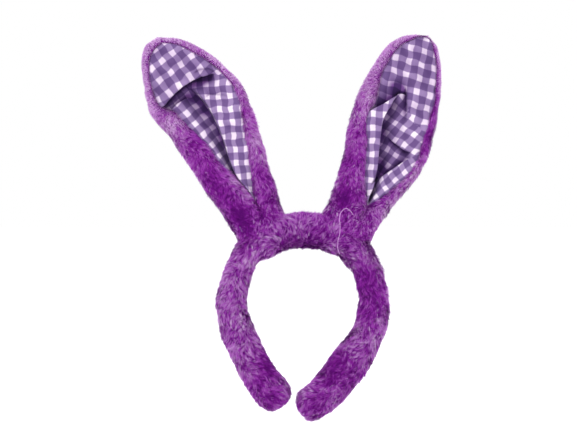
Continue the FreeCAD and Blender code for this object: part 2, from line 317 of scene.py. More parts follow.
PILE = pile_material()
BACKING = skin_material()
GINGHAM = gingham_material()
THREAD = noisy_material("sewing_thread", srgb(84, 30, 104), srgb(126, 62, 148), 2200, 0.6, sheen=0.2)
STRIP = noisy_material("moulded_strip", srgb(214, 212, 206), srgb(236, 234, 228), 60, 0.45)
WIRE = noisy_material("craft_wire", srgb(150, 150, 154), srgb(190, 190, 192), 900, 0.35, metallic=1.0)
STRAY = noisy_material("loose_fibre", srgb(206, 150, 216), srgb(226, 184, 232), 900, 0.5)
WADDING = noisy_material("polyester_wadding", srgb(226, 226, 222), srgb(250, 250, 246), 300, 0.95,
                         sheen=0.3)


# ---- plush surfaces and their pile

BAND_SPACING = 0.45 * MM     # how far apart the strands stand on the band and on the ears
EAR_SPACING = 0.46 * MM
STRAND_WIDTH = 0.28 * MM
ROOT_DEPTH = 0.5 * MM        # how far below the backing a strand starts
LOWER_PART = 0.42            # a strand's two straight parts, as shares of its length
UPPER_PART = 0.6
GUARD_SHARE = 0.07           # how many of the strands are longer and paler guard hairs
LOCK = 1.5 * MM              # how wide a lock of pile is
SWIRL = 26 * MM              # how far apart the pile changes direction
BASE_TONE = 0.48             # the pile's tone before anything changes it


class Plush:
    """A grid of plush: its points, outward normals and the way its pile lies, and at each point the
    pile's length, its tone (0 dark to 1 pale) and how calm it is (0 in locks to 1 combed smooth)."""

    def __init__(self, points, lie, length, tone, calm, outward):
        self.points = points
        along, across = np.gradient(points, axis=0), np.gradient(points, axis=1)
        normals = unit(np.cross(along, across))
        self.normals = normals * np.sign((normals * outward).sum(-1).mean())
        self.lie = unit(lie - (lie * self.normals).sum(-1, keepdims=True) * self.normals)
        self.values = [np.broadcast_to(value, points.shape[:2])[..., None] for value in (length, tone, calm)]

    def scatter(self, spacing, random):
        """Random places spread evenly over the surface, this far apart on average."""
        corner = self.points
        size = np.linalg.norm(np.cross(corner[1:, :-1] - corner[:-1, :-1],
                                       corner[:-1, 1:] - corner[:-1, :-1]), axis=-1)
        count = int(size.sum() / spacing ** 2)
        cell = random.choice(size.size, count, p=(size / size.sum()).ravel())
        i, j = np.divmod(cell, size.shape[1])
        a, b = random.random((2, count, 1))
        fields = []
        for field in (self.points, self.normals, self.lie, *self.values):
            fields.append(field[i, j] * (1 - a) * (1 - b) + field[i + 1, j] * a * (1 - b)
                          + field[i, j + 1] * (1 - a) * b + field[i + 1, j + 1] * a * b)
        points, normals, lie, length, tone, calm = fields
        return points, unit(normals), unit(lie), length, tone[:, 0], calm


def swirled(root, normal, lie, wild):
    """The direction the pile lies in, turned this way and that, and the direction across it."""
    turn = (waves(root, SWIRL, 11)[:, None] * 0.9 + waves(root, SWIRL / 3, 12)[:, None] * 0.5) * wild
    lie = unit(lie * np.cos(turn) + np.cross(normal, lie) * np.sin(turn))
    return lie, np.cross(normal, lie)


def lock_numbers(root):
    """Which lock each strand belongs to: uneven cells of space, numbered from 0."""
    warp = np.stack([waves(root, 5 * LOCK, 20 + k) for k in range(3)], -1) * LOCK * 0.8
    _, lock = np.unique(np.floor((root + warp) / LOCK).astype(int), axis=0, return_inverse=True)
    return lock.ravel()


def lock_mean(points, lock):
    """For each strand, the mean of these points over its lock."""
    sums = np.stack([np.bincount(lock, points[:, k]) for k in range(3)], -1)
    return (sums / np.bincount(lock)[:, None])[lock]


def strand_tones(root, tone, lock, guard, wild, random):
    """Each strand's tone: uneven from lock to lock, from place to place and from strand to strand."""
    lock_tone = random.normal(size=lock.max() + 1)[lock] * 0.24
    patch = waves(root, 18 * MM, 31) * 0.08 + waves(root, 5 * MM, 32) * 0.13
    change = (lock_tone + patch + random.normal(size=len(root)) * 0.12) * (0.15 + 0.85 * wild[:, 0])
    tone = tone + np.where(change > 0, 0.65, 1.25) * change + guard[:, 0] * 0.12 + 0.06
    return np.clip(tone, 0.03, 0.97)


def pile(name, surface, spacing, seed, keep=None):
    """Pile strands on a surface: narrow tapered leaves in three faces, gathered in locks."""
    random = np.random.default_rng(seed)
    fields = surface.scatter(spacing, random)
    if keep is not None:
        kept = keep(fields[0])
        fields = [field[kept] for field in fields]
    root, normal, lie, length, tone, calm = fields
    count = len(root)
    wild = 1 - calm
    lie, side = swirled(root, normal, lie, wild)
    lock = lock_numbers(root)
    locks = lock.max() + 1

    lean = random.normal(size=(locks, 1))[lock] * 0.5 * wild
    rise = random.uniform(-0.12, 0.18, (locks, 1))[lock] * wild
    stretch = 1 + random.uniform(-0.2, 0.2, (locks, 1))[lock] * wild
    guard = random.random((count, 1)) < GUARD_SHARE
    length = length * random.uniform(0.72, 1.08, (count, 1)) * stretch * np.where(guard, 1.15, 1)
    lift = unit(normal * (0.85 + rise) + lie * 0.85 + random.normal(size=(count, 3)) * 0.13)
    sweep = unit(lie + normal * (0.22 + rise) + side * lean + random.normal(size=(count, 3)) * 0.16)
    middle = root + lift * length * LOWER_PART
    tip = middle + sweep * length * UPPER_PART
    middle += (lock_mean(middle, lock) - middle) * 0.18 * wild
    tip += (lock_mean(tip, lock) - tip) * np.where(guard, 0.1, 0.36) * wild
    root = root - normal * ROOT_DEPTH

    twist = random.uniform(-0.7, 0.7, (count, 1)) * (0.3 + 0.7 * wild)
    width = unit(np.cross(tip - root, normal) + normal * twist * np.linalg.norm(tip - root, axis=1)[:, None])
    width = width * STRAND_WIDTH * random.uniform(0.7, 1.3, (count, 1)) / 2
    vertices = np.stack([root - width, root + width, middle + width * 0.85, middle - width * 0.85, tip], 1)
    first = np.arange(count)[:, None] * 5
    faces = np.concatenate([first + [0, 1, 2], first + [0, 2, 3], first + [3, 2, 4]])

    tone = strand_tones(root, tone, lock, guard, wild, random)
    u = tone[:, None] + np.array([-1, 1, 1, -1, 0]) * 0.02
    v = np.broadcast_to([0.02, 0.02, 0.5, 0.5, 0.98], u.shape)
    uvs = np.stack([u, v], -1).reshape(-1, 2)
    thing = new_object(name, vertices.reshape(-1, 3), faces, PILE, OFBake=uvs[faces.ravel()])
    return thing


def skin(name, grid, wrap=False):
    """The backing under the pile, from a grid of points."""
    thing = new_object(name, grid.reshape(-1, 3), grid_faces(*grid.shape[:2], wrap), BACKING)
    return thing


# ---- the band

BAND_RADIUS = 57.5 * MM
BAND_CENTRE = np.array([0.0, 0.0, 14.0 * MM - BAND_RADIUS])
CROWN_SKIN = 12.0 * MM       # radius of the backing round the crown and round the arms
ARM_SKIN = 9.4 * MM
PILE_LENGTH = 5.4 * MM
CROWN_LAP = 1.5              # how far each half runs on past the middle of the crown, in degrees
SHOULDER = 62                # how far from the middle of the crown the arms begin, in degrees
ARM_BEND = 9 * MM            # how far before and after its hinge the points around it lie
AROUND = 44                  # points round the band

# Each half of the band: how far below the side it leaves the crown's circle, in degrees, the radius of
# the bow that it follows from there, through how many degrees, how much thicker it is at its end, and how
# much paler. Then where its inner and its outer side stand out or in: how far, at which distance along
# and how far from there. Lengths are in millimetres.
HALVES = {
    "left": {
        "below": 24, "bow": 282, "turn": 11.7, "swell": 2.4, "paler": 0.04,
        "inner": [(2.2, 116, 16), (-3.6, 48, 10), (1.3, 81, 14)],
        "outer": [(1.5, 150, 32), (0.9, 113, 14), (-1.4, 74, 11), (0.9, 47, 9)],
    },
    "right": {
        "below": 22, "bow": 144, "turn": 30.4, "swell": 2.0, "paler": 0.03,
        "inner": [(4.2, 144, 27), (-3.6, 38, 9), (1.4, 96, 15)],
        "outer": [(1.4, 140, 32), (-0.5, 76, 10), (1.1, 47, 10), (1.0, 21, 7)],
    },
}


def front_direction(angle):
    """Unit vector at an angle in the front view, from +X towards +Z."""
    angle = np.radians(angle)
    return np.stack([np.cos(angle), np.zeros_like(angle), np.sin(angle)], -1)


def arm_line(side, step=1.5 * MM):
    """Points, tangents and outward directions down one half of the band, from the crown to the end."""
    sign, half = SIDES[side], HALVES[side]
    bow_radius, turn = half["bow"] * MM, half["turn"]
    upper = np.linspace(90 - sign * CROWN_LAP, 90 + sign * (90 + half["below"]),
                        int(BAND_RADIUS * math.radians(90 + half["below"] + CROWN_LAP) / step))
    lower = np.linspace(upper[-1], upper[-1] + sign * turn, int(bow_radius * math.radians(turn) / step))[1:]
    bow_centre = BAND_CENTRE + front_direction(upper[-1]) * (BAND_RADIUS - bow_radius)
    points = np.concatenate([BAND_CENTRE + front_direction(upper) * BAND_RADIUS,
                             bow_centre + front_direction(lower) * bow_radius])
    angles = np.concatenate([upper, lower])
    return points, front_direction(angles + 90 * sign), front_direction(angles)


def closed_end(centre, tangent, outward, along, girth):
    """The same fields of the band's line, carried on round its closed end."""
    cap = np.linspace(0, math.pi / 2, 12)[1:]
    reach = (girth[-1] - 0.6 * MM) * np.sin(cap)
    centre = np.concatenate([centre, centre[-1] + tangent[-1] * reach[:, None]])
    along = np.concatenate([along, along[-1] + reach])
    girth = np.concatenate([girth, girth[-1] * np.maximum(np.cos(cap), 0.01) ** 0.6])
    tangent = np.concatenate([tangent, np.repeat(tangent[-1:], len(cap), 0)])
    outward = np.concatenate([outward, np.repeat(outward[-1:], len(cap), 0)])
    return centre, tangent, outward, along, girth


def stood_out(height, along, shapes):
    """The height of one side of the band with these shapes added to it."""
    for rise, place, reach in shapes:
        height = height + rise * MM * bump(along, place * MM, reach * MM)
    return height


def band_surface(side):
    """Half the band's skin, from the middle of the crown to the rounded end."""
    half = HALVES[side]
    centre, tangent, outward = (field[:-1] for field in arm_line(side))
    along = distance_along(centre)
    along -= BAND_RADIUS * math.radians(CROWN_LAP)
    length = along[-1]
    girth = CROWN_SKIN + (ARM_SKIN - CROWN_SKIN) * ease(along, 38 * MM, 62 * MM)
    girth += half["swell"] * MM * ease(along, 110 * MM, 170 * MM) + 0.6 * MM * bump(along, 92 * MM, 20 * MM)
    centre, tangent, outward, along, girth = closed_end(centre, tangent, outward, along, girth)
    ring = rings(outward, np.broadcast_to(FRONT, outward.shape), AROUND)
    points = centre[:, None] + ring * girth[:, None, None]
    rough = waves(points, 34 * MM, 41) * 0.6 * MM + waves(points, 13 * MM, 42) * 0.35 * MM
    inner = stood_out(0, along, half["inner"]) + 1.6 * MM * bump(along, length + 4 * MM, 9 * MM)
    outer = stood_out(0.3 * MM * (1 - ease(along, 18 * MM, 30 * MM)), along, half["outer"])
    facing = np.cos(np.linspace(0, 2 * math.pi, AROUND, endpoint=False))
    rough = rough + inner[:, None] * np.maximum(-facing, 0) + outer[:, None] * np.maximum(facing, 0)
    points = points + ring * rough[..., None] * ease(girth, 0, 4 * MM)[:, None, None]
    return points, ring, tangent, along


# Places on the front where the pile is drawn darker, or paler where the strength is negative: x, z and reach
# in millimetres, and strength. The dark ones along the crown's inner lower edge, near z = 2, are painted
# shade of that face.
PATCHES = [
    (-31, -89, 8, 0.42), (-29, -98, 7, 0.30), (-28, -117, 9, 0.42), (-40, -104, 8, 0.18),
    (29, -92, 10, 0.42), (19, -104, 10, 0.24), (39, -104, 10, 0.20), (12, -122, 8, 0.22), (8, -130, 7, 0.2),
    (48, -19, 9, 0.40), (53, -33, 10, 0.36), (46, -52, 9, 0.22), (58, -48, 9, 0.18),
    (-9, 2, 8, 0.20), (6, 3, 8, 0.24), (-2, 1, 7, 0.12), (39, 10, 12, 0.20), (-44, 4, 8, 0.14),
    (-57, 34, 9, 0.32), (-50, 25, 8, 0.56), (-46, 15, 7, 0.42), (-64, 45, 8, 0.20),
    (-87, 85, 9, 0.30), (-76, 65, 9, 0.30), (-70, 50, 9, 0.30), (-29, 57, 8, 0.22), (-26, 38, 7, 0.2),
    (33, 39, 8, 0.56), (36, 47, 7, 0.36), (37, 71, 10, 0.28), (40, 98, 10, 0.16), (62, 44, 8, 0.16),
    (106, 111, 9, 0.34), (102, 91, 9, 0.36), (-35, 31, 3.5, 0.40), (-32.5, 27, 3.5, 0.34),
    (93, 55, 10, -0.30), (82, 40, 11, -0.30), (71, 27, 9, -0.22), (44, 120, 12, -0.14), (-106, 96, 9, -0.10),
    (-57, 55, 6, -0.20), (-46, 41, 6, -0.18), (-77, 80, 6, -0.15), (-68, 67, 6, -0.16), (-37, 92, 9, -0.08),
    (49, 70, 5, -0.16), (49, 55, 5, -0.16), (51, 42, 5, -0.22), (15, 12, 9, 0.10),
    (42, 100, 9, -0.16), (66, 31, 7, -0.12), (-35, 83, 8, -0.16), (-84, 158, 6, 0.16), (-112, 105, 6, 0.12),
    (27, -60, 14, -0.08), (4, 6, 12, -0.06), (0, 26, 14, 0.12), (-26, 24, 9, 0.06),
]


def shaded(points, tone):
    """The tone with the patches of the front worked in, painted shade along the crown's inner lower edge
    among them.
    """
    near_front = ease(points[..., 1] * -1, -2 * MM, 4 * MM)
    for x, z, reach, strength in PATCHES:
        away = np.hypot(points[..., 0] - x * MM, points[..., 2] - z * MM)
        tone = tone - strength * near_front * np.exp(-(away / (reach * MM)) ** 2)
    return tone


def arm_hinge(side):
    """An arm's hinge, and the points this far before and after it along the band."""
    hinge = JOINTS[f"{side}_arm_flex"]
    angle = math.degrees(math.atan2(hinge[2] - BAND_CENTRE[2], hinge[0]))
    down = front_direction(np.float64(angle + 90 * SIDES[side])) * ARM_BEND
    return hinge, tuple(hinge - down), tuple(hinge + down)


def make_band(side):
    """Half the band: its backing, and its pile in two pieces that meet at the arm's hinge."""
    points, ring, tangent, along = band_surface(side)
    brushed = np.gradient(ring, axis=1) * -1
    flow = ease(along, 6 * MM, 36 * MM)[:, None, None]
    lie = unit(brushed) * (1 - flow) + tangent[:, None] * flow
    closed, ring, lie = (np.concatenate([field, field[:, :1]], 1) for field in (points, ring, lie))
    around = np.linspace(0, 2 * math.pi, AROUND + 1)
    # painted highlight: the pile's tone is raised towards the band's outer side
    edge = 0.07 * np.maximum(np.cos(around), 0) ** 3
    tone = shaded(closed, np.broadcast_to(BASE_TONE + edge, closed.shape[:2]))
    tone = tone + (HALVES[side]["paler"] - 0.01 * ease(closed[..., 2], -50 * MM, 20 * MM))
    surface = Plush(closed, lie, PILE_LENGTH, tone, 0, ring)
    hinge, start, end = arm_hinge(side)
    down = np.array(end) - np.array(start)
    backing = skin(f"{side}_band_backing", points, wrap=True)
    halves = {
        f"{side}_crown_pile": lambda p: (p - hinge) @ down < 0,
        f"{side}_arm_pile": lambda p: (p - hinge) @ down >= 0,
    }
    pieces = [backing]
    for number, (name, keep) in enumerate(halves.items()):
        pieces.append(pile(name, surface, BAND_SPACING, 100 + number + 10 * SIDES[side], keep))
    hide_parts("crown_plush_cover", "crown_wadding", f"{side}_arm_plush_cover",
                f"{side}_arm_wadding")
    for piece in pieces:
        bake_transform(piece)


for side in SIDES:
    make_band(side)


# ---- the ears

# An ear's own frame: u across it, v up it and w to the front, with its root on the crown.
# Rows from foot to tip, in millimetres: the outline's left point, the lining's left edge, the trough,
# the lining's right edge and the outline's right point. Both sides of a row are (u, v).
EARS = {
    "left": {
        "root": (-36, 27), "tilt": 28.7,
        "rows": [
            ((-26, -16), (1, -16), 1, (1, -16), (18.5, -16)),
            ((-24.8, 0), (2, 0), 2, (2, 0), (19.5, -2)),
            ((-25.8, 15), (2.4, 12.2), 3.3, (4.4, 12.2), (23, 14)),
            ((-27.5, 32), (-2.2, 31), -0.6, (11.6, 30), (26.6, 31)),
            ((-28.6, 50), (-7.5, 50), 0.6, (16.8, 45), (30, 45)),
            ((-31, 68), (-10.3, 69), 3.6, (22.3, 60), (33.2, 60)),
            ((-33.6, 88), (-16, 88), 5.6, (27, 74), (36.5, 75)),
            ((-36.8, 102), (-20, 103), 5.2, (31, 87), (38.6, 90)),
            ((-37.6, 110), (-26, 112), 3, (31.5, 100), (38.1, 104)),
            ((-35.8, 121), (-27, 122), -1, (28.5, 114), (34, 117)),
            ((-30.8, 136), (-23.5, 136), -1, (22.5, 127), (28.2, 132)),
            ((-25, 150.5), (-17, 149.5), -1, (14.5, 141.5), (20.2, 146.2)),
            ((-15.8, 161.8), (-9.5, 155), -1, (7, 151), (10.9, 156)),
            ((-2.6, 164), (-1, 156.8), -1, (-1, 156.8), (-2.6, 164)),
        ],
    },
    "right": {
        "root": (42, 27), "tilt": -21.7,
        "rows": [
            ((-27, -16), (4, -16), 4, (4, -16), (20, -16)),
            ((-24.8, 0), (5, 0), 5, (5, 0), (21.4, 0)),
            ((-24.6, 9), (6, 8), 6.4, (6.8, 8), (23.4, 9)),
            ((-25, 20), (-0.5, 20), 4.8, (14.5, 19), (26.6, 20)),
            ((-25.6, 30), (-5.3, 30), 3.6, (20.6, 30), (30.2, 30)),
            ((-27, 42), (-9, 42), 1.6, (26.3, 42), (34.4, 42)),
            ((-29.5, 54), (-13.3, 54), -1.8, (30.4, 54), (36.8, 54)),
            ((-31.6, 66), (-18, 66), -5, (29.8, 66), (37.2, 67)),
            ((-33.6, 79), (-21.6, 79), -7.5, (28.6, 78), (35.3, 79)),
            ((-34.4, 92), (-19.5, 91), -6, (27.4, 91), (34.1, 91)),
            ((-33.4, 104), (-21, 103), -3, (25.8, 104), (30.6, 104)),
            ((-31.7, 116), (-21.9, 116), 0, (22.2, 116), (27.8, 116)),
            ((-29.6, 128), (-20, 127.5), 0, (18.6, 128), (23.8, 128)),
            ((-25.5, 138), (-17, 138), 0, (14.6, 138), (19, 138.5)),
            ((-18.8, 146.6), (-10, 145.5), -1, (9, 146), (13.4, 148)),
            ((-8.4, 152.1), (-5.5, 150.6), 0, (4.8, 151.2), (7.4, 152.2)),
            ((0.6, 154.6), (0.6, 153.2), 0.6, (0.6, 153.2), (0.6, 154.6)),
        ],
    },
}

# Creases in a lining: one side lies over the other. A line in u and v, which side is on top
# (1 above, -1 below), how far that side stands up, how deep the other side sinks, how far each
# reaches, between which u the crease begins and between which it ends, and how far the side on top
# hangs over, all in millimetres.
CREASES = {
    "left": [
        {"line": [(-29, 109.5), (-26, 112.5), (-19, 115.8), (-11, 118.6), (-4, 120), (5, 120.5), (13, 120),
                  (22, 116.5), (29, 109.5)],
         "top": 1, "lift": 4.6, "sink": 6.5, "reach": (12, 6), "fade": (-29, -22, 14, 26), "droop": 3.6},
        {"line": [(-24, 105), (-14, 108), (-5, 108.5), (3, 104)],
         "top": -1, "lift": 1.8, "sink": 2.6, "reach": (4, 3.5), "fade": (-24, -17, -6, 1), "droop": 1.0},
        {"line": [(4, 101), (12, 101.5), (20, 97), (28, 91)],
         "top": -1, "lift": 1.2, "sink": 2.4, "reach": (5, 4), "fade": (6, 11, 18, 27), "droop": 0.6},
        {"line": [(8, 123.5), (14, 124.5), (21, 122), (26, 115), (29, 108)],
         "top": 1, "lift": 1.0, "sink": 1.8, "reach": (4, 3), "fade": (7, 12, 23, 28), "droop": 0.5},
    ],
    "right": [
        {"line": [(-24, 77), (-19, 81.5), (-12, 89), (-7, 96), (-3.5, 101), (2, 103), (8, 101)],
         "top": -1, "lift": 2.8, "sink": 5.5, "reach": (6, 9), "fade": (-22, -17, -2, 5), "droop": 2.0},
        {"line": [(-2, 112), (3, 103), (7, 93), (10, 84)],
         "top": 1, "lift": 2.0, "sink": 4.0, "reach": (6, 5), "fade": (-1, 2, 7, 11), "droop": 0.8},
        {"line": [(0, 68), (6, 65.5), (14, 63), (21, 62), (28, 66)],
         "top": 1, "lift": 1.8, "sink": 4.2, "reach": (5, 4.5), "fade": (0, 6, 17, 25), "droop": 1.4},
        {"line": [(1, 22), (3, 26), (5, 30.5), (12, 40.6), (21.8, 55.4), (29, 63)],
         "top": -1, "lift": 2.2, "sink": 5.5, "reach": (7, 5), "fade": (2, 5, 18, 26), "droop": 1.5},
    ],
}

# Hollows between the folds, where a lining is in shadow, and a place that is lighter (negative):
# u, v, reach and strength.
HOLLOWS = {
    "left": [(9, 112, 5, 0.5), (0, 113, 5, 0.35), (17, 113, 4, 0.45), (4, 104, 4, 0.35),
             (10, 116, 4, 0.3), (18, 116, 3, 0.3), (12, 105, 4, 0.3), (-4, 82, 4, 0.25), (-2, 92, 4, 0.2)],
    "right": [(-9, 106, 6, 0.4), (-16, 97, 6, 0.2), (13, 58, 6, 0.35), (3.5, 43, 4, 0.3),
              (-2, 62, 3, -0.15)],
}

# How each part of a lining's cloth lies in the front view: the directions of its two sets of stripes
# in degrees, how far each set repeats, and the x and z of one of its white checks, in millimetres.
CHARTS = {
    "left": {
        "tip": (125.7, 37.3, 10.5, 11.2, -104.0, 155.8),
        "near": (129.5, 38, 10.4, 10.8, -85.9, 99.4),
        "far": (95.3, 5.5, 9.2, 10.9, -55.5, 89.2),
    },
    "right": {
        "tip": (79.5, -17, 10.6, 10.8, 92.8, 135.6),
        "near": (88, -2, 9.6, 10.4, 55.0, 74.9),
        "far": (47, -32, 9.4, 10.6, 80.5, 95.3),
        "cuff": (39, -51, 8.2, 10.1, 73.0, 54.0),
    },
}
LINING_ROWS, LINING_COLUMNS = 230, 96

# Sizes of an ear in millimetres.
RIM_RISE = (2.4, 7.5)        # the least and the most that the rolled rim stands up
FOOT_DOME = 10.5             # how far the foot bulges to the front
BACK_DEPTH = 8.0             # how far the back lies behind the middle
TROUGH_DEPTH = 9.5           # how deep the lining's long fold is
DEEPEST = 5.2                # how far behind the middle the lining may reach
SLIVER = 0.4                 # where the lining is narrower than this, it isn't made
EAR_PILE = 4.6               # how long the pile is low down
WIRE_DEPTH = 1.6             # how far inside the backing the shaping wire lies
LOWER_SHARE = 0.36           # how much of its rows an ear's lower part takes


def ear_frame(side):
    """The ear's root and its across, up and front directions."""
    x, z = EARS[side]["root"]
    angle = math.radians(EARS[side]["tilt"])
    across = np.array([math.cos(angle), 0, math.sin(angle)])
    up = np.array([-math.sin(angle), 0, math.cos(angle)])
    return np.array([x, 0, z]) * MM, across, up


def in_place(side, u, v, w):
    """Points of the ear's own frame, in millimetres, as points of the model."""
    root, across, up = ear_frame(side)
    return root + (u[..., None] * across + v[..., None] * up + w[..., None] * FRONT) * MM


def ear_lines(side, count):
    """Five smooth lines up the ear: outline, lining edge, trough, lining edge, outline."""
    rows = EARS[side]["rows"]
    lines = []
    for column in range(5):
        if column == 2:
            points = [(row[2], (row[1][1] + row[3][1]) / 2) for row in rows]
        else:
            points = [row[column] for row in rows]
        lines.append(curve_through(points, count))
    return lines


def ear_outline(side, count):
    """An ear's outline, up its left side and down its right side."""
    lines = ear_lines(side, count)
    return np.concatenate([lines[0], lines[-1][-2::-1]])


def inset(outline, reach):
    """An ear's outline moved inward by this much."""
    heading = unit(np.gradient(outline, axis=0))
    return outline + np.stack([heading[:, 1], -heading[:, 0]], -1) * reach


def edge_height(v):
    """How far in front of the ear's middle the lining's edge lies."""
    return 1.5 + 2.3 * ease(v, 5, 40) - 2.0 * ease(v, 85, 130)


def pile_reach(v):
    """How far the pile stands off the backing, which makes the outline."""
    return 1.7 + 0.2 * ease(v, 85, 125)


def eased_steps(count):
    """From 0 to 1 in this many steps, which are smaller towards both ends."""
    return (1 - np.cos(np.pi * np.linspace(0, 1, count))) / 2


def between(first, second, x):
    """The u and v of points between two lines, at these shares of the way across."""
    return [first[:, k:k + 1] + (second - first)[:, k:k + 1] * x for k in (0, 1)]


def ear_flank(outer, edge):
    """The plush from the outline round to the lining's edge: a roll, and at the foot a dome."""
    x = eased_steps(17)
    wide = np.linalg.norm(outer - edge, axis=1)[:, None]
    rise = np.clip(wide * 0.42, *RIM_RISE) * (1 - 0.2 * ease(outer[:, 1:], 90, 120))
    u, v = between(outer, edge, x)
    roll = edge_height(v) * x ** 1.5 + rise * np.sqrt(np.maximum(4 * x * (1 - x), 0))
    roll = roll - 1.5 * ease(x, 0.8, 1.0)
    dome = FOOT_DOME * np.sqrt(np.maximum(1 - (1 - x) ** 2, 0))
    foot = 1 - ease(v, -8, 13)
    return np.stack([u, v, roll * (1 - foot) + dome * foot], -1)


def ear_back(left, right):
    """The plush behind an ear, from one side of its outline to the other, without the outline itself."""
    x = eased_steps(41)[1:-1]
    span = np.linalg.norm(right - left, axis=1, keepdims=True)
    u, v = between(left, right, x)
    deep = np.minimum(BACK_DEPTH - 2.5 * ease(v, 60, 130), span * 0.3) + 2 * (1 - ease(v, -10, 20))
    return np.stack([u, v, -deep * (4 * x * (1 - x)) ** 0.45], -1)


def ear_skin(side, count=110):
    """The plush of an ear as one sheet: from the lining's left edge round the back to its right edge."""
    _, edge_left, _, edge_right, _ = ear_lines(side, count)
    outline = ear_outline(side, count)
    outline = inset(outline, pile_reach(outline[:, 1:]))
    left, right = outline[:count], outline[count - 1:][::-1]
    sheet = np.concatenate([ear_flank(left, edge_left)[:, ::-1], ear_back(left, right),
                            ear_flank(right, edge_right)], 1)
    u, v, w = sheet[..., 0], sheet[..., 1], sheet[..., 2]
    points = in_place(side, u, v, w)
    lump = waves(points, 30 * MM, 51) * 0.6 + waves(points, 12 * MM, 52) * 0.3
    points = points + unit(points - in_place(side, u * 0.6, v, w * 0)) * lump[..., None] * MM
    return points, v


def lining_lines(side):
    """A lining's left edge, trough and right edge, from where it is wide enough to be made."""
    _, edge_left, trough, edge_right, _ = ear_lines(side, 300)
    start = np.argmax(edge_right[:, 0] - edge_left[:, 0] > SLIVER)
    lines = []
    for line in (edge_left[start:], trough[start:], edge_right[start:]):
        pick = np.linspace(0, len(line) - 1, LINING_ROWS)
        lines.append(np.stack([np.interp(pick, np.arange(len(line)), line[:, k]) for k in (0, 1)], -1))
    return lines


def trough_fold(side, u, v, across, width):
    """The long fold from the foot up to the big crease: how high the cloth stands, how far it leans over
    and how deep in shadow it is."""
    below = 1 - ease(v, 104, 116) if side == "left" else 1 - ease(v + 0.5 * u, 86, 104)
    depth = TROUGH_DEPTH * ease(width, 1.0, 12) * below
    steep = {"left": (0.8, 0.16), "right": (0.16, 0.5)}[side]
    fall = np.where(across < 0, 1 - ease(-across, 0.0, steep[0]), 1 - ease(across, 0.0, steep[1]))
    w = edge_height(v) - depth * fall
    belly = (1 - across ** 2) * np.minimum(width, 40) / 40
    w = w + belly * (2.2 * (1 - below) + 1.0 * below)
    if side == "left":
        w = w + 3.2 * bump(across, 0.24, 0.26) * below
        overhang = -1.8 * bump(across, 0.15, 0.12) * below * ease(width, 8, 22)
    else:
        w = w + 2.4 * bump(across, 0.84, 0.16) * (1 - ease(v, 50, 66)) * ease(v, 12, 24)
        w = w + 1.6 * bump(across, -0.3, 0.25) * below
        overhang = 2.2 * bump(across, -0.17, 0.12) * below * ease(width, 8, 22)
    shade = fall * below * ease(width, 2, 10) * 0.95 + (1 - below) * 0.26
    return w, overhang, shade


def creased(crease, u, v, w, shade):
    """Heights up the ear, heights to the front and shade of the cloth with one more crease in it."""
    line = np.array(crease["line"])
    height = np.interp(u, line[:, 0], line[:, 1])
    slope = np.interp(u, line[:, 0], np.gradient(line[:, 1], line[:, 0]))
    away = (v - height) / np.sqrt(1 + slope ** 2) * crease["top"]
    begins, full, full_until, ends = crease["fade"]
    strength = ease(u, begins, full) * (1 - ease(u, full_until, ends))
    over, under = crease["reach"]
    lip = ease(away, -0.7, 0.7)
    above, beneath = np.maximum(away, 0), np.minimum(away, 0)
    shade = shade + strength * (1 - lip) * np.exp(beneath / under * 1.3) * crease["sink"] / 4.8
    w = w + strength * (lip * crease["lift"] * np.exp(-above / over)
                        - (1 - lip) * crease["sink"] * np.exp(beneath / under))
    v = v - strength * crease["top"] * crease["droop"] * lip * np.exp(-above / 3.5)
    return v, w, shade


def lining_points(side):
    """The lining's surface (u, v, w), and for each point how far across it is (-1 to 1, 0 in the trough),
    its place before it is creased, how much further across the cloth it lies, and its shade."""
    edge_left, trough, edge_right = lining_lines(side)
    a = np.linspace(-1, 1, LINING_COLUMNS)
    a = np.sign(a) * np.abs(a) ** 1.15
    share = np.abs(a)[None, :, None]
    edge = np.where(a[None, :, None] < 0, edge_left[:, None], edge_right[:, None])
    flat = trough[:, None] * (1 - share) + edge * share
    u, v = flat[..., 0], flat[..., 1]
    across = np.broadcast_to(a, u.shape)
    width = (edge_right - edge_left)[:, :1]
    uncreased, overhang, shade = trough_fold(side, u, v, across, width)
    u = u + overhang
    w = uncreased
    cloth = np.stack([u, v], -1)
    shade = shade + waves(cloth, 24, 71) * 0.13 + waves(cloth, 11, 72) * 0.10
    for place_u, place_v, reach, strength in HOLLOWS[side]:
        shade = shade + strength * bump(np.hypot(u - place_u, v - place_v), 0, reach)
    for crease in CREASES[side]:
        v, w, shade = creased(crease, u, v, w, shade)
    w = w + waves(cloth, 26, 61) * 1.1 + waves(cloth, 10, 62) * 0.5 * ease(width, 3, 12)
    deepest = DEEPEST - 1.6 * ease(v, 60, 130)
    w = 0.8 * np.log1p(np.exp((w + deepest) / 0.8)) - deepest
    w = w - 1.6 * ease(np.abs(across), 0.93, 1.0)
    tuck = 1 + 0.05 * ease(np.abs(across), 0.9, 1.0)
    u = trough[:, :1] * (1 - tuck) + u * tuck
    return u, v, w, across, cloth, cloth_run(u, uncreased), np.clip(shade, 0, 1)


def cloth_run(u, w):
    """How much further across the cloth each point lies for what runs into the trough."""
    middle = u.shape[1] // 2
    du, dw = np.diff(u, axis=1), np.diff(w, axis=1)
    spare = np.hypot(du, dw) - np.abs(du)
    run = np.zeros_like(u)
    run[:, 1:middle + 1] += np.cumsum(spare[:, :middle], axis=1)
    run[:, middle:-1] -= np.cumsum(spare[:, middle:][:, ::-1], axis=1)[:, ::-1]
    return run


